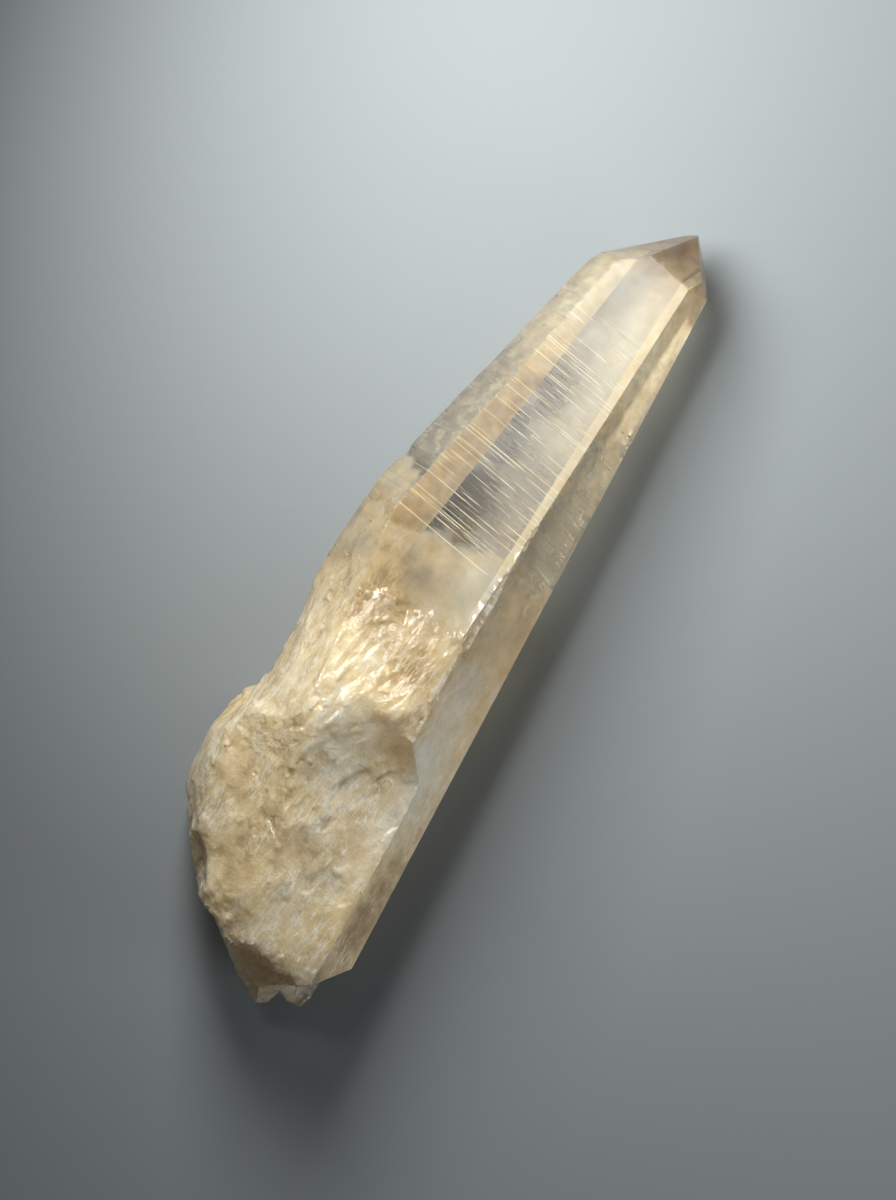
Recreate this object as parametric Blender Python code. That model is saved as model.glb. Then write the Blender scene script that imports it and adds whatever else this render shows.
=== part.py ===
"""A broken, tapered quartz point, lying on its back face.

Metres, +Z up. +X runs along the stone to its tip, +Y to the side with the broken flank.
The origin is under the middle of the stone, on the surface that it rests on.

The stone is one solid. Its growth faces are planes cut from a block, its broken root is lumps with
shells of rock struck off them, and growth lines ring the clear half.
"""

import math

import bmesh
import bpy
from mathutils import Vector, noise

NAME = "quartz_point"
MM = 0.001

# Driving dimensions of the whole stone, in millimetres
LENGTH = 150.0
WIDTH = 40.4
HEIGHT = 35.0

# Quartz: a termination face leans this far from the prism face below it
TERMINATION_LEAN = 38.2
# The way the crystal grew, which its growth lines stand square to
GROWTH_TURN = -12.0
GROWTH_DIP = -5.0

# The front face falls towards the tip
SHOULDER_X = 65.0
SHOULDER_THICKNESS = 17.6
FRONT_FALL = 0.195

# Growth lines: how far apart, and how high the step between two is
GROWTH_LINE_FIRST = 4.0
GROWTH_LINE_LAST = 58.0
GROWTH_LINE_COUNT = 17
GROWTH_STEP = 0.10

# The root is diced this finely before its surface is roughened by this much
ROOT_CELL = 3.0
ROOT_ROUGHNESS = 0.32
ROOT_GRAIN = 5.5
ROOT_STARTS = 14.0

FLAT_WITHIN = 0.02
RESTS_BELOW = 0.35


def mm(x, y, z):
    """A place given in millimetres, as a vector in metres."""
    return Vector((x, y, z)) * MM


def front_height(x):
    """How high the front face stands over the ground at this distance along the stone."""
    return SHOULDER_THICKNESS + FRONT_FALL * (SHOULDER_X - x)


def growth_axis():
    turn = math.radians(GROWTH_TURN)
    dip = math.radians(GROWTH_DIP)
    return Vector((math.cos(turn) * math.cos(dip), math.sin(turn) * math.cos(dip), math.sin(dip)))


GROWTH = growth_axis()
ACROSS = Vector((0, 0, 1)).cross(GROWTH).normalized()
UPWARD = GROWTH.cross(ACROSS)
AXIS_POINT = mm(66.0, -9.6, 8.8)


def through(a, b, c):
    """The plane through three places, facing away from the stone's middle."""
    normal = (b - a).cross(c - a).normalized()
    if (a - mm(20, -4, 12)).dot(normal) < 0:
        normal = -normal
    return a, normal


def termination(around, point):
    """A face of the tip: around is its bearing round the growth axis, from the front face."""
    bearing, lean = math.radians(around), math.radians(TERMINATION_LEAN)
    side = math.cos(bearing) * UPWARD + math.sin(bearing) * ACROSS
    return point, (math.cos(lean) * side + math.sin(lean) * GROWTH).normalized()


def on_front(x, y):
    return mm(x, y, front_height(x))


def prism_faces():
    """The six long faces, each through the edges that it shares with its neighbours."""
    ridge = on_front(65.7, -16.4), on_front(-7.8, -10.5)
    brow = on_front(64.2, -3.9), on_front(22.2, 6.4)
    right_edge = mm(60, -20.0, 11.6), mm(-20, -19.9, 16.3)
    left_edge = mm(62.5, 0.7, 12.2), mm(22.9, 11.5, 17.4)
    back_right = mm(62, -13.8, 0), mm(-20, -13.4, 0)
    back_left = mm(61.7, -5.8, 0), mm(9.9, 3.4, 0)
    return {
        "front": through(*ridge, brow[0]),
        "upper_right": through(*ridge, right_edge[0]),
        "lower_right": through(*right_edge, back_right[0]),
        "back": (mm(0, 0, 0), Vector((0, 0, -1))),
        "lower_left": through(*left_edge, back_left[0]),
        "upper_left": through(*brow, left_edge[1]),
    }


def ridge_bevel():
    """A narrow face that takes off the ridge at the front's right, and widens towards the root."""
    start = on_front(36.0, -14.35)
    foot = on_front(-8.0, -9.9)
    foot_below = mm(-8.0, -11.4, front_height(-8.0) - 1.75)
    return through(start, foot, foot_below)


def on_face(face, x, y):
    """The place on a face over this spot of the ground."""
    place, normal = face
    spot = mm(x, y, 0)
    spot.z = place.z - ((spot - place).xy.dot(normal.xy)) / normal.z
    return spot


def tip_faces():
    """The six faces of the tip. The front one is larger than the rest, as on the real stone."""
    front = termination(0, on_front(66.9, -9.6))
    left = termination(60, on_front(64.2, -3.9))
    return {
        "tip_front": front,
        "tip_upper_left": left,
        "tip_lower_left": through(on_face(left, 64.1, -0.5), on_face(left, 73.0, -10.9), mm(61.9, -6.0, 0.4)),
        "tip_back": termination(180, mm(61.7, -10.2, 0)),
        "tip_lower_right": termination(-120, mm(70.9, -16.9, 6.6)),
        "tip_upper_right": through(on_face(front, 67.7, -17.6), on_face(front, 73.8, -14.1), mm(71.0, -16.8, 7.0)),
    }


def broken_faces():
    """Breaks that cut the prism's far end and its left flank, each as three places in millimetres."""
    corners = {
        "flank_low": ((10.0, 15.1, 16.0), (-26, 16.0, 15.0), (-26, 11.0, 2.0)),
        "flank_high": ((10.0, 15.0, 17.6), (-26, 15.9, 18.0), (-26, 9.4, 30.5)),
        "corner": ((-60.4, -20.0, 12.0), (-63.9, -15.6, 12.0), (-61.0, -17.5, 2.0)),
        "end_left": ((-49.7, 17.6, 11.0), (-61.2, 8.6, 11.0), (-54.0, 13.0, 1.0)),
        "end_top": ((-64.0, 2.0, 29.0), (-67.0, -12.0, 27.5), (-73.0, -4.0, 15.5)),
        "end_cap": ((-64.0, 5.6, 12.0), (-74.0, -8.0, 12.0), (-71.0, -4.0, 19.5)),
        "end_under": ((-62.0, 6.0, 0.0), (-64.0, -16.0, 0.0), (-73.0, -4.0, 5.0)),
    }
    return [through(*(mm(*place) for place in places)) for places in corners.values()]


def root_lumps():
    """Lumps of the root that stand out past the prism, each the hull of a few places in millimetres."""
    flare = [
        (-24.4, 15.0, 16), (-27.7, 15.7, 16), (-29.4, 17.3, 16), (-31.7, 19.7, 15), (-34.8, 20.1, 15),
        (-40.5, 20.0, 14.5), (-45.0, 19.5, 14), (-47.7, 19.2, 13.5), (-49.6, 17.6, 13), (-53.9, 14.7, 12.5),
        (-32.0, 14.5, 28), (-44.0, 14.0, 28), (-54.0, 8.5, 29), (-30.0, 7.0, 34), (-27.0, 12.5, 2.0),
        (-32.0, 17.0, 0.6), (-46.0, 17.2, 0.6), (-54.0, 12.0, 0.8), (-40.0, -2.0, 3.0), (-31.5, 19.0, 6.0),
        (-46.5, 18.8, 4.5),
    ]  # fmt: skip
    shelf = [
        (-50.0, 14.6, 21.0), (-55.8, 13.1, 12.5), (-59.3, 11.4, 11.5), (-60.9, 8.2, 11.0), (-59.0, 6.0, 25.0),
        (-59.8, 8.0, 1.5), (-50.0, 8.0, 1.0), (-48.0, 4.0, 15.0), (-58.0, 11.3, 3.5),
    ]  # fmt: skip
    tail = [
        (-58.0, 7.0, 10.0), (-63.5, 6.2, 11.0), (-68.9, 0.1, 11.0), (-61.0, 5.2, 26.0), (-65.0, -2.0, 28.0),
        (-64.5, -12.5, 27.5), (-60.0, -12.0, 4.0), (-62.5, 4.6, 1.2), (-68.2, -2.0, 2.4), (-50.0, -6.0, 14.0),
        (-70.5, -6.0, 20.0),
    ]  # fmt: skip
    lip = [
        (-66.0, -1.0, 18.0), (-70.6, -1.8, 11.0), (-73.2, -6.0, 11.0), (-75.0, -8.8, 10.0), (-73.9, -10.6, 9.5),
        (-71.0, -11.2, 9.6), (-66.0, -12.5, 20.0), (-71.5, -7.5, 18.5), (-62.0, -6.0, 5.0), (-71.0, -7.0, 3.6),
    ]  # fmt: skip
    clear_chip = [
        (-58.0, -15.0, 8.0), (-63.9, -16.3, 8.2), (-66.8, -16.4, 7.2), (-69.8, -16.1, 6.2), (-72.4, -15.0, 6.0),
        (-72.5, -13.0, 6.4), (-71.0, -10.5, 8.2), (-64.0, -10.0, 10.5), (-61.0, -13.0, 1.4), (-70.0, -13.0, 2.4),
        (-58.0, -8.0, 2.0),
    ]  # fmt: skip
    return {"flare": flare, "shelf": shelf, "tail": tail, "lip": lip, "clear_chip": clear_chip}


def root_bites():
    """Pieces broken off the top of the root, each the hull of a few places in millimetres."""
    right = [
        (-29.5, -15.4, 24.0), (-43.5, -15.6, 25.1), (-78.0, -14.6, 28.2), (-78.0, -2.0, 29.6),
        (-50.0, -1.5, 32.2), (-36.0, 5.5, 33.2), (-31.0, -2.0, 33.4), (-12.0, -18.0, 44.0), (-78.0, -34.0, 44.0),
        (-78.0, 12.0, 44.0), (-12.0, 12.0, 44.0),
    ]  # fmt: skip
    left = [
        (-27.0, 9.8, 31.6), (-36.0, 5.0, 33.2), (-51.0, -2.5, 32.2), (-68.0, -1.0, 29.0), (-61.0, 12.0, 22.0),
        (-46.0, 15.8, 24.0), (-33.0, 16.8, 23.0), (-22.0, 16.0, 44.0), (-26.0, 2.0, 44.0), (-68.0, -8.0, 44.0),
        (-68.0, 38.0, 44.0), (-30.0, 38.0, 44.0),
    ]  # fmt: skip
    return {"bite_right": right, "bite_left": left}


def struck_shells():
    """Shells of rock struck off the root: (place, outward direction, radius of the bowl, depth)."""
    return [
        ((-31.5, -5.0, 32.7), (-0.16, -0.30, 0.94), 24.0, 0.8),
        ((-39.0, -9.6, 29.3), (-0.06, -0.50, 0.86), 30.0, 0.8),
        ((-54.0, -9.0, 29.8), (-0.10, -0.24, 0.96), 46.0, 0.9),
        ((-43.0, 9.0, 29.4), (-0.10, 0.52, 0.85), 44.0, 1.5),
        ((-62.0, 4.0, 26.4), (-0.40, 0.34, 0.85), 22.0, 0.9),
        ((-69.4, -4.0, 22.6), (-0.76, -0.02, 0.65), 13.0, 1.0),
        ((-67.0, 2.0, 18.6), (-0.74, 0.56, 0.36), 12.0, 0.8),
        ((-58.5, 10.8, 19.0), (-0.46, 0.76, 0.46), 13.0, 0.9),
        ((-51.0, 16.2, 18.0), (-0.36, 0.84, 0.40), 12.0, 0.9),
        ((-38.5, 18.6, 20.0), (-0.02, 0.86, 0.52), 26.0, 0.9),
        ((-28.5, 15.2, 24.0), (0.26, 0.82, 0.50), 13.0, 0.9),
        ((-18.5, 15.2, 18.5), (0.02, 0.97, 0.25), 44.0, 1.3),
        ((-3.0, 13.6, 22.5), (0.02, 0.86, 0.51), 40.0, 0.9),
        ((9.5, 13.0, 22.0), (0.06, 0.86, 0.51), 26.0, 0.6),
        ((20.3, 12.4, 17.5), (-0.12, 0.98, 0.14), 4.0, 0.6),
        ((-61.6, 8.2, 11.0), (-0.78, 0.62, -0.02), 2.6, 0.6),
        ((-69.9, -1.0, 11.0), (-0.80, 0.58, 0.10), 2.0, 0.5),
        ((-72.3, -11.6, 8.4), (-0.95, -0.28, 0.10), 1.8, 0.8),
        ((-56.0, 12.6, 4.0), (-0.34, 0.78, -0.52), 16.0, 0.8),
        ((-38.0, 19.2, 5.0), (0.0, 0.86, -0.51), 20.0, 0.9),
        ((-8.0, 14.0, 9.0), (0.0, 0.92, -0.39), 36.0, 0.8),
        ((-33.3, 19.9, 14.8), (0.10, 0.99, 0.05), 1.5, 0.5),
    ]


def new_object(name, bm, collection):
    mesh = bpy.data.meshes.new(name)
    bm.to_mesh(mesh)
    bm.free()
    obj = bpy.data.objects.new(name, mesh)
    collection.objects.link(obj)
    return obj


def as_helper(obj):
    obj.hide_render = True
    obj.display_type = "WIRE"
    return obj


def cut_away(bm, place, outward):
    """Takes off what lies past a plane, and closes the cut with one flat face."""
    geometry = bm.verts[:] + bm.edges[:] + bm.faces[:]
    cut = bmesh.ops.bisect_plane(
        bm, geom=geometry, dist=1e-7, plane_co=place, plane_no=outward, clear_outer=True
    )
    rim = [e for e in cut["geom_cut"] if isinstance(e, bmesh.types.BMEdge)]
    bmesh.ops.contextual_create(bm, geom=rim)


def prism(collection):
    """The crystal itself: a block cut to its growth faces, then to its breaks."""
    bm = bmesh.new()
    bmesh.ops.create_cube(bm, size=0.2)
    for place, outward in [*prism_faces().values(), *tip_faces().values(), *broken_faces()]:
        cut_away(bm, place, outward)
    cut_away(bm, *ridge_bevel())
    bmesh.ops.recalc_face_normals(bm, faces=bm.faces)
    return new_object(NAME, bm, collection)


def lump(name, places, collection):
    bm = bmesh.new()
    corners = [bm.verts.new(mm(*place)) for place in places]
    hull = bmesh.ops.convex_hull(bm, input=corners)
    spare = {v for v in hull["geom_interior"] + hull["geom_unused"] if isinstance(v, bmesh.types.BMVert)}
    bmesh.ops.delete(bm, geom=list(spare), context="VERTS")
    bmesh.ops.recalc_face_normals(bm, faces=bm.faces)
    return as_helper(new_object(name, bm, collection))


def bowl(name, place, outward, radius, depth, collection):
    """The ball whose lowest part dishes the surface at a place to a depth."""
    bm = bmesh.new()
    bmesh.ops.create_icosphere(bm, subdivisions=4, radius=radius * MM)
    away = Vector(outward).normalized()
    bmesh.ops.translate(bm, verts=bm.verts, vec=mm(*place) + away * (radius - depth) * MM)
    return as_helper(new_object(name, bm, collection))


def join_or_cut(obj, other, operation):
    step = obj.modifiers.new(other.name, "BOOLEAN")
    step.operation = operation
    step.object = other
    step.solver = "EXACT"


def settle(obj):
    """Makes the object's mesh what its modifiers make of it."""
    bpy.context.view_layer.update()
    graph = bpy.context.evaluated_depsgraph_get()
    made = bpy.data.meshes.new_from_object(obj.evaluated_get(graph))
    obj.modifiers.clear()
    obj.data = made


def lies_on(point, faces):
    return any(abs((point - place).dot(outward)) < FLAT_WITHIN * MM for place, outward in faces)


def dice(bm, along, first, last, spacing, where):
    """Cuts the faces that pass the test into strips, with no part taken off."""
    count = int((last - first) / spacing)
    for index in range(count + 1):
        chosen = [f for f in bm.faces if where(f)]
        geometry = {g for f in chosen for g in [f, *f.edges, *f.verts]}
        place = along * (first + index * spacing) * MM
        bmesh.ops.bisect_plane(bm, geom=list(geometry), dist=1e-7, plane_co=place, plane_no=along)


def roughen_root(bm, growth_faces):
    """Gives the broken surfaces the uneven ground of a fracture. Growth faces stay flat."""

    def broken(face):
        centre = face.calc_center_median()
        return centre.x < ROOT_STARTS * MM and not lies_on(centre, growth_faces)

    for along, first, last in (
        (Vector((1, 0, 0)), -LENGTH / 2, ROOT_STARTS),
        (Vector((0, 1, 0)), -WIDTH / 2, WIDTH / 2),
        (Vector((0, 0, 1)), ROOT_CELL / 2, HEIGHT),
    ):
        dice(bm, along, first, last, ROOT_CELL, broken)
    bm.normal_update()
    moves = {}
    for vert in bm.verts:
        if not all(broken(face) for face in vert.link_faces):
            continue
        coarse = noise.noise(vert.co / (ROOT_GRAIN * MM))
        fine = noise.noise(vert.co / (ROOT_GRAIN * MM / 2.6) + Vector((7, 3, 5)))
        moves[vert] = vert.normal * (coarse + 0.5 * fine) * ROOT_ROUGHNESS * MM
    for vert, move in moves.items():
        vert.co += move


def ring_with_growth_lines(bm):
    """Steps the prism's section in a little at each growth line, square to the growth axis.

    Between two lines the section swells back, so the mean taper of every face is kept.
    """
    spacing = (GROWTH_LINE_LAST - GROWTH_LINE_FIRST) / (GROWTH_LINE_COUNT - 1)
    uneven = [0.32 * math.sin(2.4 * n) * spacing for n in range(GROWTH_LINE_COUNT)]
    lines = [GROWTH_LINE_FIRST + n * spacing + uneven[n] for n in range(GROWTH_LINE_COUNT)]
    riser = 0.3
    for line in lines:
        for at in (line, line + riser):
            geometry = bm.verts[:] + bm.edges[:] + bm.faces[:]
            place = AXIS_POINT + GROWTH * (at - SHOULDER_X) * MM
            bmesh.ops.bisect_plane(bm, geom=geometry, dist=1e-7, plane_co=place, plane_no=GROWTH)
    for vert in bm.verts:
        along = (vert.co - AXIS_POINT).dot(GROWTH) / MM + SHOULDER_X
        if vert.co.z < RESTS_BELOW * MM or not lines[0] - 1e-3 <= along <= lines[-1] + riser + 1e-3:
            continue
        outward = vert.co - AXIS_POINT - GROWTH * (vert.co - AXIS_POINT).dot(GROWTH)
        vert.co += outward.normalized() * step_at(along, lines, riser) * MM


def step_at(along, lines, riser):
    """The swell at a place along the axis: up to half a step out before a line, and as far in after."""
    for before, after in zip(lines, lines[1:]):
        if before - 1e-3 <= along <= after + 1e-3:
            start, end = before + riser, after
            if along < start - 1e-3:
                return 0.5 * GROWTH_STEP * (1 - 2 * (start - along) / riser)
            return GROWTH_STEP * (0.5 - (along - start) / (end - start))
    return 0.0


def fit_to_size(bm):
    """Sets the stone's middle over the origin, its back on the ground and its box to the stated size."""
    low = Vector([min(v.co[k] for v in bm.verts) for k in range(3)])
    high = Vector([max(v.co[k] for v in bm.verts) for k in range(3)])
    under = Vector(((low.x + high.x) / 2, (low.y + high.y) / 2, low.z))
    size = Vector((LENGTH, WIDTH, HEIGHT)) * MM
    share = [size[k] / (high[k] - low[k]) for k in range(3)]
    bmesh.ops.translate(bm, verts=bm.verts, vec=-under)
    bmesh.ops.scale(bm, verts=bm.verts, vec=share)


def finish_mesh(obj):
    growth_faces = [*prism_faces().values(), *tip_faces().values()]
    bm = bmesh.new()
    bm.from_mesh(obj.data)
    bmesh.ops.remove_doubles(bm, verts=bm.verts, dist=1e-6)
    bmesh.ops.dissolve_limit(bm, angle_limit=math.radians(0.2), verts=bm.verts, edges=bm.edges)
    roughen_root(bm, growth_faces)
    ring_with_growth_lines(bm)
    fit_to_size(bm)
    bmesh.ops.triangulate(bm, faces=bm.faces)
    bmesh.ops.recalc_face_normals(bm, faces=bm.faces)
    bm.to_mesh(obj.data)
    bm.free()
    obj.data.set_sharp_from_angle(angle=math.radians(12))


def clear_quartz():
    """Pale smoky quartz: see-through, with a warm tint from its depth."""
    material = bpy.data.materials.new("clear_quartz")
    material.use_nodes = True
    shader = material.node_tree.nodes["Principled BSDF"]
    shader.inputs["Base Color"].default_value = (0.80, 0.70, 0.52, 1)
    shader.inputs["Roughness"].default_value = 0.08
    shader.inputs["IOR"].default_value = 1.544
    shader.inputs["Transmission Weight"].default_value = 0.85
    return material


def main():
    for obj in list(bpy.data.objects):
        bpy.data.objects.remove(obj)
    stone_parts = bpy.data.collections.new("quartz_point_parts")
    cutters = bpy.data.collections.new("cutters")
    for collection in (stone_parts, cutters):
        bpy.context.scene.collection.children.link(collection)
    cutters.hide_render = True
    stone = prism(stone_parts)
    for name, places in root_lumps().items():
        join_or_cut(stone, lump(name, places, cutters), "UNION")
    for name, places in root_bites().items():
        join_or_cut(stone, lump(name, places, cutters), "DIFFERENCE")
    for index, (place, outward, radius, depth) in enumerate(struck_shells()):
        struck = bowl(f"struck_{index:02d}", place, outward, radius, depth, cutters)
        join_or_cut(stone, struck, "DIFFERENCE")
    settle(stone)
    finish_mesh(stone)
    stone.data.materials.clear()
    stone.data.materials.append(clear_quartz())


main()
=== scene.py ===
"""Dresses a pale smoky quartz point that lies on a plain grey ground.

Metres, +Z up, in the row frame: +X runs along the stone to its tip. The camera looks straight down.
"""

import math
import random

import bmesh
import bpy
import numpy as np
from mathutils import Matrix, Vector, noise
from mathutils.bvhtree import BVHTree


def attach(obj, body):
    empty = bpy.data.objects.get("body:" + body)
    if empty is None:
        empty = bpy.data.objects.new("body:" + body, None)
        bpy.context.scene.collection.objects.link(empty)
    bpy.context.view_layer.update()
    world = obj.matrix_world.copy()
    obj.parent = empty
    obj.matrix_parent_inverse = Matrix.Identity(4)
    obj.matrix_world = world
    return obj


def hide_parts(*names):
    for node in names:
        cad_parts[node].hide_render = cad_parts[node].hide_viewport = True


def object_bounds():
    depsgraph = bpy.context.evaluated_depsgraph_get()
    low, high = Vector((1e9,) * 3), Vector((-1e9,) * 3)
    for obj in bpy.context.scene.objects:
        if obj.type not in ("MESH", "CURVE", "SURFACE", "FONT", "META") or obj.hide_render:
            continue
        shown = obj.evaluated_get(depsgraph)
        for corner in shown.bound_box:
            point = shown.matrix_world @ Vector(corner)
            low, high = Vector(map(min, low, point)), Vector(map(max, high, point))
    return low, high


MM = 0.001

# Growth: the axis that the growth lines stand square to, and a place on it
GROWTH = Vector((0.974, -0.207, -0.087)).normalized()
ACROSS = Vector((0, 0, 1)).cross(GROWTH).normalized()
UPWARD = GROWTH.cross(ACROSS)
GROWTH_TURN = math.atan2(GROWTH.y, GROWTH.x)
AXIS_POINT = Vector((66.0, -9.6, 8.8)) * MM
AXIS_AT = 65.0

# The photograph's frame: image right and image up, in the row frame
IMAGE_RIGHT = Vector((0.46947, -0.88295, 0.0))
IMAGE_UP = Vector((0.88295, 0.46947, 0.0))
AIM = Vector((0.61, -5.29, 15.0)) * MM
CAMERA_DISTANCE = 0.80
FRAME_HEIGHT = 0.2016

# Two bright window panes: one that the front face mirrors, and one for the small faces of the broken root.
# Each has a direction, the cosines of its outer and inner edge, a strength and a colour
PANES = (
    (Vector((0.431, 0.0, 0.902)).normalized(), 0.9978, 0.9998, 3.3, "d6e4ff"),
    (Vector((0.27, 0.348, 0.898)).normalized(), 0.9972, 0.9984, 13.0, "fff6e8"),
)

# Slopes by a normal's parts: what counts as the front face, as an underside and as a flank
FRONT_RISE = 0.8
UNDER_RISE = -0.15
FLANK_LEAN = 0.4

# How large a growth face is, how alike in slope its parts are, and how much its ledges may lean along
# the growth
GROWN_AREA = 20.0
PATCH_BEND = math.radians(1.5)
FACE_BEND = math.radians(2.5)
LEDGE_BEND = math.radians(3)
LEDGE_LEAN = 0.6

# How a long growth face is laid flat: its slope along and across the growth, how far a place may move in
# millimetres, and how often. Then its mesh's longest edge
SIDE_LEAN = 0.45
SIDE_BEND = math.radians(4)
FLATTEN_REACH = 0.25
FLATTEN_ROUNDS = 8
GROWN_EDGE = 1.8

# More than half a turn: the bend that stands for a face without a slope
NO_ANGLE = 3.2

# Where the root ends, where the front face is worn away and where the stone turns clear, in millimetres
ROOT_END = 0.0
WORN_FROM = -4.5
WORN_RAGGED = 3.0
CLEAR_FROM = 10.0

# Rows of cuts that give the worn end a ragged border, in millimetres: their reach along the stone, and
# each row's direction, first place, step and number
WORN_REACH = (-13, 3)
WORN_CUTS = (
    (Vector((1, 0.2, 0)), -9.0, 1.3, 8),
    (Vector((-0.2, 1, 0)), -12.0, 2.1, 10),
)

# The growth lines, in millimetres: strong and fine ones by their first place, their step and their number,
# how deep they are, and how much of them there is before their pattern breaks them up
LINE_HALF_WIDTH = 0.13
LINE_REACH = 6.0
STRONG_FIRST, STRONG_STEP, STRONG_LINES = 6.0, 2.9, 16
FINE_FIRST, FINE_STEP, FINE_LINES = 8.0, 0.74, 62
STRONG_DEPTH, FINE_DEPTH = 0.036, 0.032
STRONG_PRESENCE, FINE_PRESENCE = 0.9, 0.5
SIDE_LINE_SHARE = 0.35
LAST_LINE = 64.0
CUTS_AT_ONCE = 12

# Lines on the front face, each by two places in millimetres: its edge over the right flank, and where the
# view through it passes from the flat lower face to the sloping one
RIDGE = ((65.7, -16.4), (-7.8, -10.5))
LOWER_EDGE = ((61.7, -5.8), (9.9, 3.4))
# The strip beside the ridge is painted pale as a highlight line: its width, then half the gap between the
# two cuts at each painted border, in millimetres
STRIP_WIDTH = 1.5
BORDER_HALF_WIDTH = 0.1

# The broken faces, in millimetres; each tilted break by its size and its height
BROKEN_EDGE = 0.68
RIM_BEND = math.radians(50)
SMOOTHING_ROUNDS = 9
UPPER_ROUNDS = 70
UPPER_RISE = 0.4
STREAK_STRETCH = 5.0
TILTED_BREAKS = ((3.6, 0.6), (1.7, 0.34))

# Bends above which an edge shows, on a growth face and elsewhere
GROWN_CREASE = math.radians(1.2)
BROKEN_CREASE = math.radians(34)

# Cracks and healed fractures inside the cloudy half: how many, how much stone covers each at least, and
# how thick they are, in millimetres. A healed fracture's sheet has this many cells each way, and is lost
# past this share of its half width
FLAKES = 450
FLAKE_COVER = 0.45
FLAKE_THICKNESS = 0.05
VEILS = 30
VEIL_COVER = 0.7
VEIL_CELLS = 26
VEIL_RIM = 0.8
VEIL_THICKNESS = 0.06

# Places by their middle x and y, their reach along x and y in millimetres, and how much they change:
# browner (positive) or paler, and clearer than the cloudy stone round them
TONE_PLACES = (
    (-46.0, 5.0, 14.0, 8.0, 0.15),
    (-52.0, -17.5, 16.0, 3.5, 0.45),
    (-27.0, -9.0, 7.0, 5.0, 0.20),
    (-69.0, -14.0, 4.0, 4.0, -0.60),
    (-30.0, -15.0, 20.0, 3.0, -0.45),
    (-30.0, -3.0, 9.0, 7.0, -0.25),
    (4.0, -9.0, 5.0, 4.0, -0.55),
    (-12.8, -5.2, 4.5, 3.5, 0.30),
    (-4.0, 6.0, 9.0, 5.0, 0.25),
    (72.0, -8.0, 6.0, 12.0, 0.90),
    (52.0, -10.0, 14.0, 8.0, -0.40),
)
CLEAR_PLACES = (
    (-69.0, -14.0, 5.0, 5.0, 1.30),
    (-57.5, 11.5, 5.0, 1.8, 0.30),
    (-12.8, -5.2, 3.5, 3.0, 0.15),
    (-1.6, -1.1, 7.0, 6.0, 0.10),
)

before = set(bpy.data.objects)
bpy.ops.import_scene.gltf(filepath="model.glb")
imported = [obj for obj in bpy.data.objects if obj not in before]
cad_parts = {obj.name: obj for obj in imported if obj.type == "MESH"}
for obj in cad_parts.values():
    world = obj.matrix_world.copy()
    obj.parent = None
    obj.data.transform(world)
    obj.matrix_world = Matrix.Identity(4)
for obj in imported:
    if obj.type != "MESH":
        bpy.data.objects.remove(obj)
cad_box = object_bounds()


def linear(code):
    """An sRGB hex colour as the linear colour that shaders take."""
    parts = [int(code[k : k + 2], 16) / 255 for k in (0, 2, 4)]
    return tuple(c / 12.92 if c <= 0.04045 else ((c + 0.055) / 1.055) ** 2.4 for c in parts) + (1.0,)


def add(tree, kind, settings=None, links=None):
    """Adds a node, sets its fields and its sockets' values, and links its inputs to sockets or nodes."""
    made = tree.nodes.new(kind)
    for name, value in (settings or {}).items():
        if isinstance(name, str) and hasattr(made, name):
            setattr(made, name, value)
        else:
            made.inputs[name].default_value = value
    for name, source in (links or {}).items():
        socket = source.outputs[0] if isinstance(source, bpy.types.Node) else source
        tree.links.new(socket, made.inputs[name])
    return made


def new_material(name):
    material = bpy.data.materials.new(name)
    material.use_nodes = True
    material.node_tree.nodes.clear()
    return material, material.node_tree


# Shape of the stone


def ease(value, low, high):
    """0 below low, 1 above high and an even curve between them."""
    part = min(1.0, max(0.0, (value - low) / (high - low)))
    return part * part * (3 - 2 * part)


def along_growth(place):
    """How far along the growth axis a place is, in millimetres."""
    return (place - AXIS_POINT).dot(GROWTH) / MM + AXIS_AT


def slope_across(normal):
    """A normal without its part along the growth axis."""
    flat = normal - GROWTH * normal.dot(GROWTH)
    return flat.normalized() if flat.length > 0.2 else normal


def patches(bm, bend):
    """The surface in patches, each of one slope."""
    bm.normal_update()
    found, seen = [], set()
    for first in bm.faces:
        if first in seen:
            continue
        seen.add(first)
        patch, waiting = [], [first]
        while waiting:
            face = waiting.pop()
            patch.append(face)
            for edge in face.edges:
                for other in edge.link_faces:
                    if other not in seen and other.normal.angle(face.normal, NO_ANGLE) < bend:
                        seen.add(other)
                        waiting.append(other)
        found.append((sum(f.calc_area() for f in patch) / MM**2, patch))
    return sorted(found, key=lambda entry: -entry[0])


def near_places(place, places):
    """How much the places near this one change it."""
    return sum(
        change * math.exp(-(((place.x - x) / reach_x) ** 2) - ((place.y - y) / reach_y) ** 2)
        for x, y, reach_x, reach_y, change in places
    )


def mark_grown(bm, grown):
    """Marks the faces that lie as a large growth face does: 1 on the prism and the tip, 0 where it broke."""
    large = [p[0].normal.copy() for area, p in patches(bm, PATCH_BEND) if area > GROWN_AREA]
    across = [slope_across(n) for n in large]
    for face in bm.faces:
        direct = any(face.normal.angle(n, NO_ANGLE) < FACE_BEND for n in large)
        ledge = any(
            slope_across(face.normal).angle(a, NO_ANGLE) < LEDGE_BEND
            and abs(face.normal.dot(GROWTH) - n.dot(GROWTH)) < LEDGE_LEAN
            for n, a in zip(large, across)
        )
        face[grown] = 1 if direct or (ledge and face.calc_center_median().x > ROOT_END * MM) else 0


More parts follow.
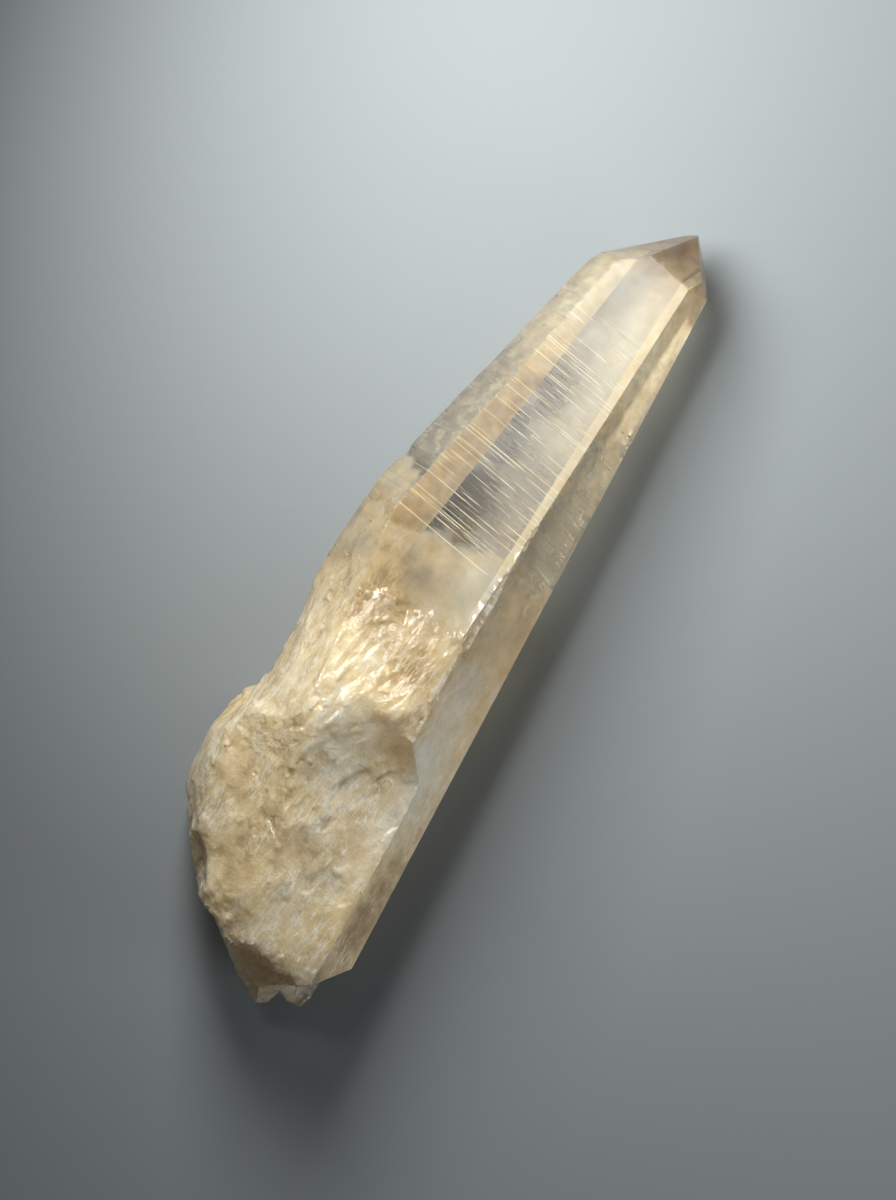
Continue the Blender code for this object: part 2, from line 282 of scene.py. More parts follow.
def wear_front_face(bm, grown):
    """Gives the front face's lower end to the broken root, past a ragged line."""
    low, high = WORN_REACH
    for way, first, step, cuts in WORN_CUTS:
        for number in range(cuts):
            faces = [
                f
                for f in bm.faces
                if f.normal.z > FRONT_RISE and any(low < v.co.x / MM < high for v in f.verts) and f[grown]
            ]
            group = [*{v for f in faces for v in f.verts}, *{e for f in faces for e in f.edges}, *faces]
            at = way.normalized() * (first + step * number) * MM
            bmesh.ops.bisect_plane(bm, geom=group, dist=1e-6, plane_co=at, plane_no=way)
    bmesh.ops.triangulate(bm, faces=[f for f in bm.faces if len(f.verts) > 3])
    for face in bm.faces:
        middle = face.calc_center_median() / MM
        ragged = WORN_RAGGED * noise.noise(middle / 4.0 + Vector((6, 1, 1)))
        if face.normal.z > FRONT_RISE and middle.x < WORN_FROM + ragged:
            face[grown] = 0


def flatten_growth_faces(bm, grown):
    """Lays each long growth face flat, so that only the fine lines cut into it later stand out."""
    sides = []
    for face in bm.faces:
        across = slope_across(face.normal)
        at_root = face.calc_center_median().x < ROOT_END * MM
        if not face[grown] or abs(face.normal.dot(GROWTH)) > SIDE_LEAN or at_root:
            continue
        for known, faces in sides:
            if known.angle(across, NO_ANGLE) < SIDE_BEND:
                faces.append(face)
                break
        else:
            sides.append((across, [face]))
    planes = []
    for _, faces in sides:
        verts = list({v for f in faces for v in f.verts})
        if sum(f.calc_area() for f in faces) / MM**2 < GROWN_AREA:
            continue
        weight = np.array([sum(f.calc_area() for f in v.link_faces) for v in verts]) ** 0.5
        places = np.array([v.co[:] for v in verts])
        middle = (places * weight[:, None]).sum(0) / weight.sum()
        normal = Vector(np.linalg.svd((places - middle) * weight[:, None], full_matrices=False)[2][2])
        planes.append((Vector(middle), normal, verts))
    for _ in range(FLATTEN_ROUNDS):
        for middle, normal, verts in planes:
            for vert in verts:
                off = (vert.co - middle).dot(normal)
                if abs(off) < FLATTEN_REACH * MM:
                    vert.co -= normal * off


def line_side(place, ends):
    """How far a place lies to the left of a line on the plan, in millimetres."""
    (x0, y0), (x1, y1) = ends
    along = Vector((x0 - x1, y0 - y1)).normalized()
    return along.x * (place.y - y1) - along.y * (place.x - x1)


def cut_border(bm, ends, offset=0.0):
    """Two cuts beside a line on the plan, so that a colour can change sharply there."""
    (x0, y0), (x1, y1) = ends
    across = Vector((y1 - y0, x0 - x1, 0)).normalized()
    for shift in (-BORDER_HALF_WIDTH, BORDER_HALF_WIDTH):
        at = Vector((x1, y1, 0)) * MM + across * (offset + shift) * MM
        faces = [f for f in bm.faces if f.normal.z > FRONT_RISE and f.calc_center_median().x > ROOT_END * MM]
        group = [*{v for f in faces for v in f.verts}, *{e for f in faces for e in f.edges}, *faces]
        bmesh.ops.bisect_plane(bm, geom=group, dist=1e-7, plane_co=at, plane_no=across)
    bmesh.ops.triangulate(bm, faces=[f for f in bm.faces if len(f.verts) > 3])


def refine(bm, wanted, rounds=9):
    """Halves each edge that is longer than wanted there, until none is."""
    for _ in range(rounds):
        too_long = [e for e in bm.edges if e.calc_length() > wanted(e)]
        if not too_long:
            return
        bmesh.ops.subdivide_edges(bm, edges=too_long, cuts=1)
        bmesh.ops.triangulate(bm, faces=[f for f in bm.faces if len(f.verts) > 3])


def growth_line_places():
    """The lines' places along the growth axis: strong ones that run far, and finer ones between them."""
    lines = []
    for number in range(STRONG_LINES):
        lines.append((STRONG_FIRST + STRONG_STEP * (number + 0.7 * noise.noise((number * 1.7, 4, 2))), 1.0))
    for number in range(FINE_LINES):
        lines.append((FINE_FIRST + FINE_STEP * (number + 0.8 * noise.noise((number * 1.3, 9, 5))), 0.0))
    kept = []
    for place, strength in sorted(lines):
        if not kept or place - kept[-1][0] > 2.4 * LINE_HALF_WIDTH:
            kept.append((place, strength))
    return kept


def cut_square_to_growth(bm, places, grown):
    """Cuts the growth faces square to the growth axis at these places."""
    spans = {}

    def note(faces):
        for face in faces:
            at = [along_growth(v.co) for v in face.verts]
            spans[face] = (min(at), max(at))

    note(f for f in bm.faces if f[grown])
    for first in range(0, len(places), CUTS_AT_ONCE):
        chunk = places[first : first + CUTS_AT_ONCE]
        faces = [f for f, (low, high) in spans.items() if low < chunk[-1] and high > chunk[0]]
        for face in faces:
            del spans[face]
        group = [*{v for f in faces for v in f.verts}, *{e for f in faces for e in f.edges}, *faces]
        for place in chunk:
            at = AXIS_POINT + GROWTH * (place - AXIS_AT) * MM
            group = bmesh.ops.bisect_plane(bm, geom=group, dist=1e-7, plane_co=at, plane_no=GROWTH)["geom"]
        note(g for g in group if isinstance(g, bmesh.types.BMFace))
    bmesh.ops.triangulate(bm, faces=[f for f in bm.faces if len(f.verts) > 3])


def cut_growth_lines(bm, grown):
    """Fine grooves straight across the growth faces, where the crystal's growth paused."""
    lines = growth_line_places()
    cut_square_to_growth(bm, [p + side * LINE_HALF_WIDTH for p, _ in lines for side in (-1, 0, 1)], grown)
    bm.normal_update()
    middles = np.array([p for p, _ in lines])
    moves = []
    for vert in bm.verts:
        faces = [f for f in vert.link_faces if f[grown]]
        if len(faces) < len(vert.link_faces) or not faces:
            continue
        at = along_growth(vert.co)
        nearest = int(np.argmin(np.abs(middles - at)))
        if abs(middles[nearest] - at) > 0.01:
            continue
        round_axis = (vert.co - AXIS_POINT) / MM
        place = (round_axis.dot(ACROSS) / LINE_REACH, round_axis.dot(UPWARD) / LINE_REACH, nearest * 3.7)
        strength = lines[nearest][1]
        here = noise.noise(place) * 2.2 + (STRONG_PRESENCE if strength else FINE_PRESENCE)
        depth = min(1.0, max(0.0, here)) * (STRONG_DEPTH if strength else FINE_DEPTH)
        outward = sum((f.normal for f in faces), Vector()).normalized()
        depth *= 1.0 if outward.z > FRONT_RISE else SIDE_LINE_SHARE
        depth *= ease(LAST_LINE - along_growth(vert.co), 6.0, 16.0)
        moves.append((vert, outward, depth))
    groove = bm.verts.layers.float["groove"]
    for vert, outward, depth in moves:
        vert.co -= outward * depth * MM
        vert[groove] = depth / STRONG_DEPTH


def broken_relief(place):
    """How far a broken place stands out, in millimetres: swells, small tilted breaks, streaks and grain."""
    along = Vector((place.dot(GROWTH) / STREAK_STRETCH, place.dot(ACROSS), place.dot(UPWARD)))
    rough = min(1.0, max(0.15, 0.6 + 1.2 * noise.noise(place / 9.0 + Vector((3, 7, 1)))))
    swell = 0.24 * noise.noise(place / 8.0) + 0.12 * noise.noise(place / 3.2 + Vector((4, 1, 9)))
    tilted = 0.0
    for size, height in TILTED_BREAKS:
        spot = Vector((along.x * 2.2, along.y, along.z)) / size
        cell = noise.voronoi(spot, distance_metric="DISTANCE", exponent=2.5)[1][0]
        tilted += height * (spot - cell).dot(noise.cell_vector(cell * 7.0) * 2 - Vector((1, 1, 1)))
    streaks = 0.12 * (0.5 - abs(noise.noise(along / 0.8 + Vector((6, 2, 8)))))
    grain = 0.05 * noise.noise(place / 0.9 + Vector((2, 8, 3)))
    return swell + rough * (tilted + streaks + grain) - 0.12


def weather_broken_faces(bm, grown):
    """Softens the broken faces' facets, then gives them the relief of a hackly break."""
    broken = [v for v in bm.verts if all(f[grown] == 0 for f in v.link_faces)]
    rims = {v for v in broken if any(e.calc_face_angle(0) > RIM_BEND for e in v.link_edges)}
    soft = [v for v in broken if v not in rims]
    upper = [v for v in broken if v.normal.z > UPPER_RISE and v.co.x < WORN_FROM * MM]
    every_way = {"use_axis_x": True, "use_axis_y": True, "use_axis_z": True}
    for verts, rounds in ((soft, SMOOTHING_ROUNDS), (upper, UPPER_ROUNDS), (broken, 1)):
        for _ in range(rounds):
            bmesh.ops.smooth_vert(bm, verts=verts, factor=0.5, **every_way)
    bm.normal_update()
    low, high = cad_box
    moves = [(v, v.normal * broken_relief(v.co / MM) * MM) for v in broken]
    for vert, move in moves:
        vert.co += move
        vert.co = Vector(min(h, max(l, c)) for c, l, h in zip(vert.co, low, high))


def sharpen(bm, grown):
    """Keeps each growth face flat to its edges, and shades the rest smoothly."""
    for edge in bm.edges:
        flat = all(f[grown] for f in edge.link_faces)
        edge.smooth = edge.calc_face_angle(0) < (GROWN_CREASE if flat else BROKEN_CREASE)
    for face in bm.faces:
        face.smooth = True


def milky_share(place):
    """0 in the clear half of the stone and 1 in the cloudy, fractured half."""
    edge = CLEAR_FROM + 1.1 * max(0.0, place.y - 4.0) - 0.5 * max(0.0, -16.0 - place.y)
    ragged = 3.2 * noise.noise(place / 5.0 + Vector((1, 5, 2))) + 1.8 * noise.noise(place / 1.6)
    thickness = 0.38 + 0.57 * ease(-place.x, -4.0, 20.0)
    thickness += 0.14 * noise.noise(place / 4.0 + Vector((3, 3, 3)))
    thickness = min(1.0, max(0.0, thickness - near_places(place, CLEAR_PLACES)))
    return thickness / (1.0 + math.exp((place.x - edge + ragged) / 0.55))


def frost_and_painted_light_share(place, normal):
    """How matt and white the clear half is: finely etched in patches above and rubbed on the faces it lies
    on; on the front face also a painted highlight strip along the ridge, a painted cream glow towards the
    tip, and painted whiteness past the lower edge for the sloping lower face seen through it.
    """
    cloud = 0.5 + 0.9 * noise.noise(place / 6.0 + Vector((8, 2, 2))) + 0.35 * noise.noise(place / 1.7)
    fine = 0.5 + 0.6 * noise.noise(place / 2.0 + Vector((1, 2, 7))) + 0.4 * noise.noise(place / 0.8)
    to_tip = ease(place.x, 34, 52)
    if normal.z < UNDER_RISE:
        if abs(normal.y) > FLANK_LEAN:
            return 0.22 * ease(cloud, -0.1, 0.7)
        return 0.2 + 0.5 * to_tip
    # On the front face: past the lower edge, painted whiteness for the sloping lower face seen through the
    # stone (painted reflection); by the ridge, a painted highlight strip; towards the tip and the ridge, a
    # painted cream glow over etched patches; the window stays clear.
    if normal.z > FRONT_RISE:
        if line_side(place, LOWER_EDGE) > 0:
            return 0.4 + 0.12 * (fine - 0.5)
        if line_side(place, RIDGE) < STRIP_WIDTH:
            return 0.55
        by_ridge = ease(-line_side(place, LOWER_EDGE), 2.0, 9.0)
        middle = 0.08 + 0.14 * ease(cloud, 0.2, 0.9)
        window = ease(24.0 - place.x, 0.0, 4.0) * ease(place.y, -4.5, -3.5)
        painted_glow = max(to_tip * (0.5 + 0.5 * by_ridge), by_ridge * ease(place.x, 20, 34) * 0.8)
        return (middle * (1 - painted_glow) + 0.38 * painted_glow) * (1 - window)
    if place.x > 66:
        return 0.14 + 0.2 * (fine - 0.5)
    near_tip = ease(place.x, 38, 46)
    if normal.y > 0:
        window = ease(place.x, 9, 12) * ease(23.0 - place.x, 0, 5)
        return (0.2 + 0.08 * near_tip + 0.2 * (fine - 0.5)) * (1 - 0.75 * window)
    window = ease(place.x, 9, 12) * ease(26.0 - place.x, 0, 5)
    return (0.32 + 0.25 * near_tip + 0.35 * (fine - 0.5)) * (1 - 0.75 * window)


def tone_share(place, normal):
    """0 where the quartz looks cream and 1 where it looks brown."""
    tone = 0.42 + 0.14 * noise.noise(place / 7.0 + Vector((5, 5, 1))) + 0.10 * noise.noise(place / 2.4)
    tone += near_places(place, TONE_PLACES)
    # On the front face, the band past the lower edge is painted caramel, fading to cream towards the tip,
    # for the sloping lower face seen through the stone (painted reflection). The strip by the ridge gets one
    # even tone under its painted highlight.
    if place.x > 8 and normal.z > FRONT_RISE:
        if line_side(place, LOWER_EDGE) > 0:
            tone = 0.72 - 0.5 * ease(place.x, 34, 56)
        elif line_side(place, RIDGE) < STRIP_WIDTH:
            tone = 0.4
    if normal.z < UNDER_RISE and abs(normal.y) > FLANK_LEAN:
        tone += 0.3
    return min(1.0, max(0.0, tone))


def paint_shares(mesh, bm, grown):
    """Stores how milky, broken, frosted and brown each place is, for the material; the frosted and brown
    shares also carry the painted highlight, glow and reflection of the front face.
    """
    bm.normal_update()
    shares = (
        ("milky", lambda v: milky_share(v.co / MM)),
        ("broken", lambda v: sum(f[grown] == 0 for f in v.link_faces) / len(v.link_faces)),
        ("frost_and_painted_light", lambda v: frost_and_painted_light_share(v.co / MM, v.normal)),
        ("tone", lambda v: tone_share(v.co / MM, v.normal)),
    )
    for name, share in shares:
        layer = mesh.attributes.new(name, "FLOAT", "POINT")
        layer.data.foreach_set("value", [share(v) for v in bm.verts])
    groove = mesh.attributes.new("groove", "FLOAT", "POINT")
    groove.data.foreach_set("value", [v[bm.verts.layers.float["groove"]] for v in bm.verts])


def make_stone(node):
    bm = bmesh.new()
    bm.from_mesh(node.data)
    bmesh.ops.remove_doubles(bm, verts=bm.verts, dist=2e-6)
    bmesh.ops.recalc_face_normals(bm, faces=bm.faces)
    grown = bm.faces.layers.int.new("grown")
    bm.verts.layers.float.new("groove")
    mark_grown(bm, grown)
    flatten_growth_faces(bm, grown)
    bm.normal_update()
    # Sharp borders for the painted colours of the front face: the band painted for the sloping lower face
    # seen through it, and the painted highlight strip by the ridge
    cut_border(bm, LOWER_EDGE)
    cut_border(bm, RIDGE, STRIP_WIDTH)

    def wanted(edge):
        if any(f[grown] == 0 for f in edge.link_faces):
            return BROKEN_EDGE * MM
        return GROWN_EDGE * MM

    wear_front_face(bm, grown)
    refine(bm, wanted)
    cut_growth_lines(bm, grown)
    weather_broken_faces(bm, grown)
    sharpen(bm, grown)
    mesh = bpy.data.meshes.new("stone")
    bm.to_mesh(mesh)
    paint_shares(mesh, bm, grown)
    bm.free()
    stone = bpy.data.objects.new("stone", mesh)
    bpy.context.scene.collection.objects.link(stone)
    return stone


# Inside the stone


def inside_depth(tree, place):
    """How deep under the surface a place is, in millimetres, and less than 0 outside."""
    above = tree.ray_cast(place, Vector((0, 0, 1)))[1]
    below = tree.ray_cast(place, Vector((0, 0, -1)))[1]
    if above is None or below is None or above.z < 0 or below.z > 0:
        return -1.0
    return tree.find_nearest(place)[3] / MM


def add_flake(bm, place, along, flat, size):
    """A thin closed disc with an edge, of this length, width and thickness in millimetres."""
    side = flat.cross(along).normalized()
    turn = Matrix((along, side, flat)).transposed().to_4x4()
    scale = Matrix.Diagonal((*(s * MM / 2 for s in size), 1.0))
    matrix = Matrix.Translation(place) @ turn @ scale
    bmesh.ops.create_icosphere(bm, subdivisions=1, radius=1.0, matrix=matrix)


def make_flakes(stone_tree, surface):
    """Small air-filled cracks just under the broken surface, most of them along the growth axis."""
    draw = random.Random(11)
    bm = bmesh.new()
    made = 0
    while made < FLAKES:
        spot, normal = surface[draw.randrange(len(surface))]
        place = spot - normal * draw.uniform(0.5, 5.0) * MM
        crowd = 0.5 + noise.noise(place / MM / 9.0 + Vector((2, 2, 6)))
        if draw.random() > crowd or inside_depth(stone_tree, place) < FLAKE_COVER:
            continue
        lean = Vector((draw.gauss(0, 1), draw.gauss(0, 1), draw.gauss(0, 1)))
        along = (GROWTH + lean * draw.choice((0.12, 0.12, 0.9))).normalized()
        flat = (normal + lean * 0.45).cross(along).cross(along).normalized()
        length = draw.uniform(0.4, 2.2)
        add_flake(bm, place, along, flat, (length, draw.uniform(0.15, 0.55) * length, FLAKE_THICKNESS))
        made += 1
    return finish_inner(bm, "cracks")


def make_veils(stone_tree, surface):
    """Ragged curved sheets of healed fractures, cloudy with trapped fluid."""
    draw = random.Random(5)
    bm = bmesh.new()
    for number in range(VEILS):
        spot, normal = surface[draw.randrange(len(surface))]
        place = spot - normal * draw.uniform(1.2, 6.0) * MM
        lean = Vector((draw.gauss(0, 1), draw.gauss(0, 1), draw.gauss(0, 1)))
        flat = (normal + lean * 0.5).normalized()
        along = flat.cross(ACROSS + lean * 0.3).normalized()
        side = flat.cross(along)
        half = draw.uniform(4.0, 9.0) * MM
        matrix = Matrix.Translation(place) @ Matrix((along, side, flat)).transposed().to_4x4()
        grid = bmesh.ops.create_grid(
            bm, x_segments=VEIL_CELLS, y_segments=VEIL_CELLS, size=half, matrix=matrix
        )
        for vert in grid["verts"]:
            at = vert.co / MM
            bend = 0.9 * noise.noise(at / 5.0 + Vector((number, 0, 0))) + 0.2 * noise.noise(at / 1.4)
            vert.co += flat * bend * MM
        faces = {f for v in grid["verts"] for f in v.link_faces}
        lost = []
        for face in faces:
            middle = face.calc_center_median()
            ragged = 0.55 * noise.noise(middle / MM / 1.8 + Vector((0, number, 0)))
            past_rim = (middle - place).length / half + ragged > VEIL_RIM
            if past_rim or inside_depth(stone_tree, middle) < VEIL_COVER:
                lost.append(face)
        bmesh.ops.delete(bm, geom=lost, context="FACES")
    loose = [v for v in bm.verts if not v.link_faces]
    bmesh.ops.delete(bm, geom=loose, context="VERTS")
    bmesh.ops.solidify(bm, geom=bm.faces[:], thickness=VEIL_THICKNESS * MM)
    return finish_inner(bm, "veils")


def finish_inner(bm, name):
    """A smooth object of this name, made from the bmesh."""
    bmesh.ops.recalc_face_normals(bm, faces=bm.faces)
    mesh = bpy.data.meshes.new(name)
    bm.to_mesh(mesh)
    bm.free()
    piece = bpy.data.objects.new(name, mesh)
    bpy.context.scene.collection.objects.link(piece)
    mesh.shade_smooth()
    return piece


def cloudy_surface(stone):
    """Places and outward directions of every seventh face on the cloudy half, above its underside."""
    mesh = stone.data
    return [
        (p.center.copy(), p.normal.copy())
        for p in mesh.polygons
        if p.center.x < 6 * MM and p.center.z > 6 * MM and p.index % 7 == 0
    ]


# Materials


def quartz():
    """Pale smoky quartz: glassy on the growth faces, satin where it broke, cloudy over its root.

    The tint is in its depth. Milky quartz scatters light from fine fluid-filled fractures under its surface.
    """
    material, tree = new_material("smoky_quartz")
    place = add(tree, "ShaderNodeTexCoord").outputs["Object"]
    milky, broken, frost_and_painted_light, tone, groove = (
        add(tree, "ShaderNodeAttribute", {"attribute_name": name}).outputs["Fac"]
        for name in ("milky", "broken", "frost_and_painted_light", "tone", "groove")
    )
    streaked = {"vector_type": "TEXTURE", "Rotation": (0, 0, GROWTH_TURN), "Scale": (STREAK_STRETCH, 1, 1)}
    along = add(tree, "ShaderNodeMapping", streaked, {"Vector": place})
    mottling, painted_sparkle_noise, pores, groups, streaks = (
        add(
            tree,
            "ShaderNodeTexNoise",
            {"Scale": 1000 / size_mm, "Detail": detail, "Roughness": roughness},
            {"Vector": vector},
        )
        for size_mm, detail, roughness, vector in (
            (2.4, 6, 0.6, place),
            (0.9, 4, 0.6, place),
            (0.45, 3, 0.55, place),
            (8.0, 2, 0.55, place),
            (1.1, 3, 0.5, along),
        )
    )

    # thin bright cracks where the stretched pattern crosses its middle, in some places only, and small
    # bright flecks, both painted paler on the cloudy half: the cracks partly real bright fractures and
    # partly painted glints, the flecks painted sparkle highlights
    off_middle = add(tree, "ShaderNodeMath", {"operation": "SUBTRACT", 1: 0.5}, {0: streaks})
    off_middle = add(tree, "ShaderNodeMath", {"operation": "ABSOLUTE"}, {0: off_middle})
    crack = add(tree, "ShaderNodeMapRange", {1: 0.0, 2: 0.043, 3: 1.0, 4: 0.0}, {0: off_middle})
    grouped = add(tree, "ShaderNodeMapRange", {1: 0.45, 2: 0.6}, {0: groups})
    crack = add(tree, "ShaderNodeMath", {"operation": "MULTIPLY"}, {0: crack, 1: grouped})
    painted_sparkle = add(tree, "ShaderNodeMapRange", {1: 0.66, 2: 0.72}, {0: painted_sparkle_noise})
    cracks_and_painted_glints = add(tree, "ShaderNodeMath", {"operation": "MAXIMUM"}, {0: crack, 1: painted_sparkle})
    cracks_and_painted_glints = add(tree, "ShaderNodeMath", {"operation": "MULTIPLY"}, {0: cracks_and_painted_glints, 1: milky})

    # the cream and brown of the cloudy parts
    mottled = add(tree, "ShaderNodeMapRange", {1: 0.3, 2: 0.7, 3: -0.09, 4: 0.14}, {0: mottling})
    mottled = add(tree, "ShaderNodeMath", {"operation": "ADD"}, {0: tone, 1: mottled})
    # paler on the cracks and painted glints, and along the growth grooves, which are painted whitish partly
    # for their finely rough steps and partly as a painted highlight on the lines
    for mark, change in ((cracks_and_painted_glints, -0.75), (groove, -0.5)):
        marked = {"operation": "MULTIPLY_ADD", 1: change}
        mottled = add(tree, "ShaderNodeMath", marked, {0: mark, 2: mottled})
    cloud_colour = add(tree, "ShaderNodeValToRGB", {}, {"Fac": mottled})
    ramp = cloud_colour.color_ramp.elements
    ramp.new(0.5)
    for stop, (at, code) in zip(ramp, ((0.08, "fff5df"), (0.5, "f2deb2"), (0.95, "b49b6f"))):
        stop.position, stop.color = at, linear(code)
    # The white share takes the frosting, the grooves and the milky stone. With them it also takes the
    # painted highlight, glow and reflection of the front face, and the painted highlight on the grooves.
    cloudy = add(tree, "ShaderNodeMath", {"operation": "MAXIMUM"}, {0: frost_and_painted_light, 1: groove})
    cloudy = add(tree, "ShaderNodeMath", {"operation": "MAXIMUM"}, {0: cloudy, 1: milky})
    coloured = add(tree, "ShaderNodeMapRange", {1: 0.0, 2: 0.4}, {0: cloudy})
    colour = add(
        tree,
        "ShaderNodeMix",
        {"data_type": "RGBA", 6: (0.985, 0.97, 0.94, 1)},
        {0: coloured, 7: cloud_colour.outputs["Color"]},
    ).outputs[2]

    # how much light passes straight on, and how rough the surface is
    through = add(tree, "ShaderNodeMapRange", {1: 0.35, 2: 0.65, 3: 0.24, 4: 0.36}, {0: mottling})
    clearness = add(tree, "ShaderNodeMix", {"data_type": "FLOAT", 2: 1.0}, {0: cloudy, 3: through})
    matt = add(tree, "ShaderNodeMath", {"operation": "MULTIPLY", 1: 0.7}, {0: frost_and_painted_light})
    matt = add(tree, "ShaderNodeMath", {"operation": "MAXIMUM"}, {0: matt, 1: broken})
    satin = add(tree, "ShaderNodeMapRange", {3: 0.02, 4: 0.12}, {0: matt})

    height = add(tree, "ShaderNodeMath", {"operation": "MULTIPLY_ADD", 1: 0.33}, {0: pores, 2: mottling})
    height = add(tree, "ShaderNodeMath", {"operation": "MULTIPLY_ADD", 1: 0.53}, {0: streaks, 2: height})
    height = add(tree, "ShaderNodeMath", {"operation": "MULTIPLY"}, {0: height, 1: broken})
    relief = add(tree, "ShaderNodeBump", {"Strength": 0.7, "Distance": 0.0005}, {"Height": height})
    shader = add(
        tree,
        "ShaderNodeBsdfPrincipled",
        {
            "IOR": 1.544,
            "Subsurface Weight": 0.6,
            "Subsurface Radius": (0.0042, 0.0038, 0.0032),
            "Subsurface Scale": 1.0,
        },
        {"Base Color": colour, "Roughness": satin, "Transmission Weight": clearness, "Normal": relief},
    )
    tint = add(tree, "ShaderNodeVolumeAbsorption", {"Color": (0.886, 0.729, 0.393, 1), "Density": 9.0})
    add(tree, "ShaderNodeOutputMaterial", {}, {"Surface": shader, "Volume": tint})
    return material


def healed_fracture():
    """Healed fractures: sheets of tiny fluid bubbles that look like cream-white mist in the quartz."""
    material, tree = new_material("healed_fracture")
    place = add(tree, "ShaderNodeTexCoord").outputs["Object"]
    mist = add(tree, "ShaderNodeTexNoise", {"Scale": 1000 / 1.2, "Detail": 4.0}, {"Vector": place})
    clear = add(tree, "ShaderNodeMapRange", {1: 0.4, 2: 0.6, 3: 0.2, 4: 0.95}, {0: mist})
    shader = add(
        tree,
        "ShaderNodeBsdfPrincipled",
        {"Base Color": linear("fff0cf"), "Roughness": 0.3, "IOR": 1.1},
        {"Transmission Weight": clear},
    )
    add(tree, "ShaderNodeOutputMaterial", {}, {"Surface": shader})
    return material


def open_crack():
    """Open cracks: thin films of air in the quartz, which mirror like silver where they are seen aslant."""
    material, tree = new_material("open_crack")
    place = add(tree, "ShaderNodeTexCoord").outputs["Object"]
    ripple = add(tree, "ShaderNodeTexNoise", {"Scale": 1000 / 0.6, "Detail": 2.0}, {"Vector": place})
    relief = add(tree, "ShaderNodeBump", {"Strength": 0.4, "Distance": 0.0001}, {"Height": ripple})
    shader = add(
        tree,
        "ShaderNodeBsdfPrincipled",
        {"Base Color": linear("fffaf0"), "Roughness": 0.12, "IOR": 1 / 1.544, "Transmission Weight": 0.75},
        {"Normal": relief},
    )
    add(tree, "ShaderNodeOutputMaterial", {}, {"Surface": shader})
    return material


def ground():
    """A plain sheet of matte grey paper."""
    material, tree = new_material("grey_paper")
    shader = add(tree, "ShaderNodeBsdfPrincipled", {"Base Color": linear("888f92"), "Roughness": 0.75})
    add(tree, "ShaderNodeOutputMaterial", {}, {"Surface": shader})
    return material


# Stage


def make_floor():
    bm = bmesh.new()
    bmesh.ops.create_grid(bm, x_segments=2, y_segments=2, size=1.5)
    bmesh.ops.translate(bm, verts=bm.verts, vec=(0, 0, -0.00005))
    mesh = bpy.data.meshes.new("floor")
    bm.to_mesh(mesh)
    bm.free()
    floor = bpy.data.objects.new("floor", mesh)
    bpy.context.scene.collection.objects.link(floor)
    floor.data.materials.append(ground())


def facing(backward, up):
    """The turn of a camera or light that looks against this direction with this way up."""
    back = backward.normalized()
    right = up.cross(back).normalized()
    return Matrix((right, back.cross(right), back)).transposed().to_quaternion()


def make_camera():
    data = bpy.data.cameras.new("camera")
    data.lens = 18.0 / (FRAME_HEIGHT / 2 / CAMERA_DISTANCE)
    data.clip_start = 0.01
    camera = bpy.data.objects.new("camera", data)
    bpy.context.scene.collection.objects.link(camera)
    camera.location = AIM + Vector((0, 0, CAMERA_DISTANCE))
    camera.rotation_mode = "QUATERNION"
    camera.rotation_quaternion = facing(Vector((0, 0, 1)), IMAGE_UP)
    bpy.context.scene.camera = camera


def make_lamp(name, right, up, height, size, power, colour, target=(0, 0)):
    """A soft lamp at this place in millimetres from the frame's middle, aimed at a place on the ground."""
    data = bpy.data.lights.new(name, "AREA")
    data.shape = "RECTANGLE"
    data.size, data.size_y = size[0] * MM, size[1] * MM
    data.energy = power
    data.color = linear(colour)[:3]
    lamp = bpy.data.objects.new(name, data)
    bpy.context.scene.collection.objects.link(lamp)
    base = Vector((AIM.x, AIM.y, 0))
    lamp.location = base + IMAGE_RIGHT * right * MM + IMAGE_UP * up * MM + Vector((0, 0, height * MM))
    aimed = base + IMAGE_RIGHT * target[0] * MM + IMAGE_UP * target[1] * MM
    lamp.rotation_mode = "QUATERNION"
    lamp.rotation_quaternion = facing(lamp.location - aimed, Vector((0, 0, 1)))
    return lamp


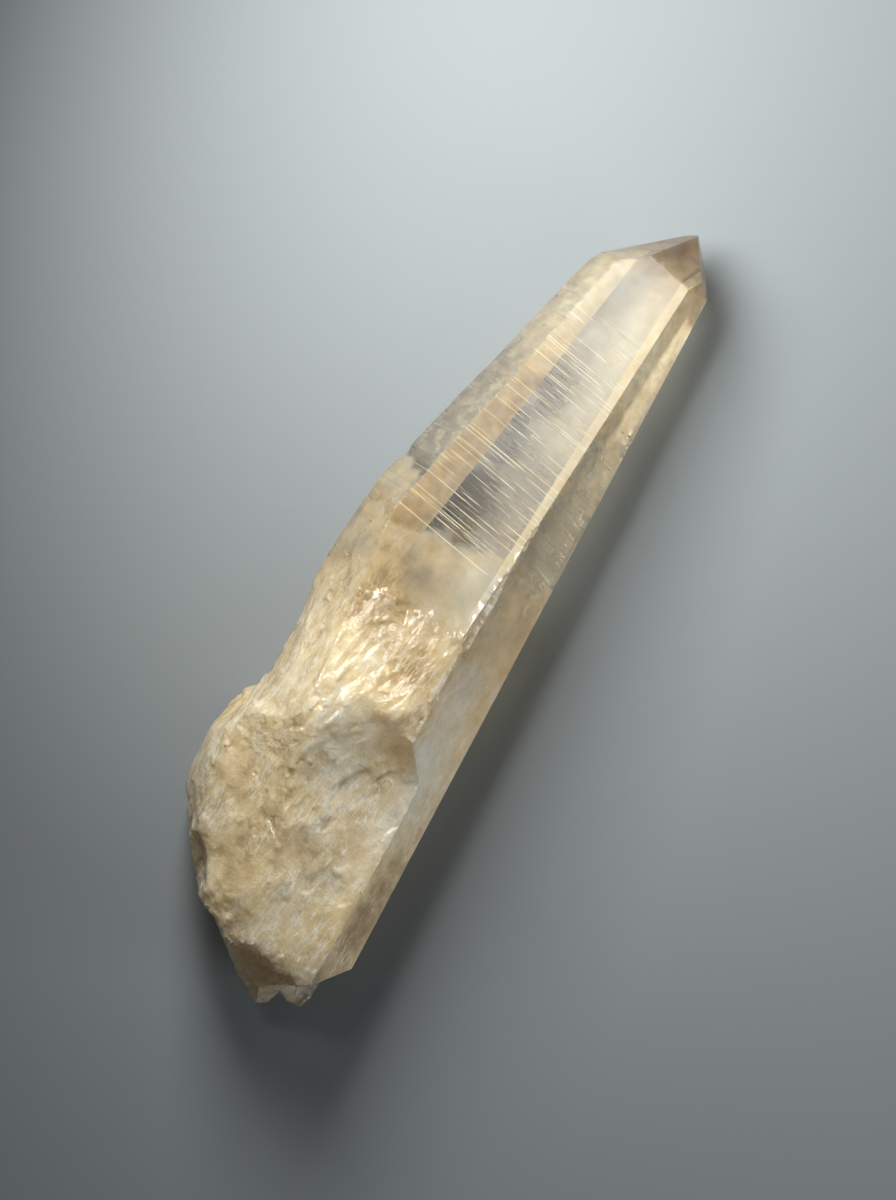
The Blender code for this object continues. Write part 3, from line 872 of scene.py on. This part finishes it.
def light_the_scene():
    make_lamp("window", -28, 123, 141, (140, 110), 0.86, "fffdfa", (300, 0))
    make_lamp("white_card", 540, -264, 130, (320, 200), 1.6, "f6f8ff")
    world = bpy.data.worlds.new("room")
    world.use_nodes = True
    tree = world.node_tree
    tree.nodes.clear()
    way = add(tree, "ShaderNodeTexCoord").outputs["Generated"]
    light = add(tree, "ShaderNodeBackground", {"Color": linear("8b9499"), "Strength": 0.13})
    for pane_way, outer, inner, strength, colour in PANES:
        near = add(tree, "ShaderNodeVectorMath", {"operation": "DOT_PRODUCT", 1: pane_way}, {0: way})
        lit = {1: outer, 2: inner, 3: 0.0, 4: strength}
        glow = add(tree, "ShaderNodeMapRange", lit, {0: near.outputs["Value"]})
        pane = add(tree, "ShaderNodeBackground", {"Color": linear(colour)}, {"Strength": glow})
        light = add(tree, "ShaderNodeAddShader", {}, {0: light, 1: pane})
    add(tree, "ShaderNodeOutputWorld", {}, {"Surface": light})
    bpy.context.scene.world = world


def set_light_paths():
    """Lets light cross the stone often enough, and holds back stray bright dots."""
    scene = bpy.context.scene
    scene.cycles.max_bounces = 12
    scene.cycles.transmission_bounces = 12
    scene.cycles.glossy_bounces = 6
    scene.cycles.diffuse_bounces = 4
    scene.cycles.transparent_max_bounces = 16
    scene.cycles.sample_clamp_indirect = 40.0
    scene.cycles.caustics_refractive = True
    scene.cycles.caustics_reflective = True
    scene.view_settings.view_transform = "Standard"


stone = make_stone(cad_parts["quartz_point"])
stone.data.materials.clear()
stone.data.materials.append(quartz())
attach(stone, "root")
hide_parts("quartz_point")
corners = [v.co for v in stone.data.vertices]
stone_tree = BVHTree.FromPolygons(corners, [p.vertices for p in stone.data.polygons])
surface = cloudy_surface(stone)
cracks, veils = make_flakes(stone_tree, surface), make_veils(stone_tree, surface)
cracks.data.materials.append(open_crack())
veils.data.materials.append(healed_fracture())
for piece in (cracks, veils):
    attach(piece, "root")
make_floor()
make_camera()
light_the_scene()
set_light_paths()

bpy.context.view_layer.update()
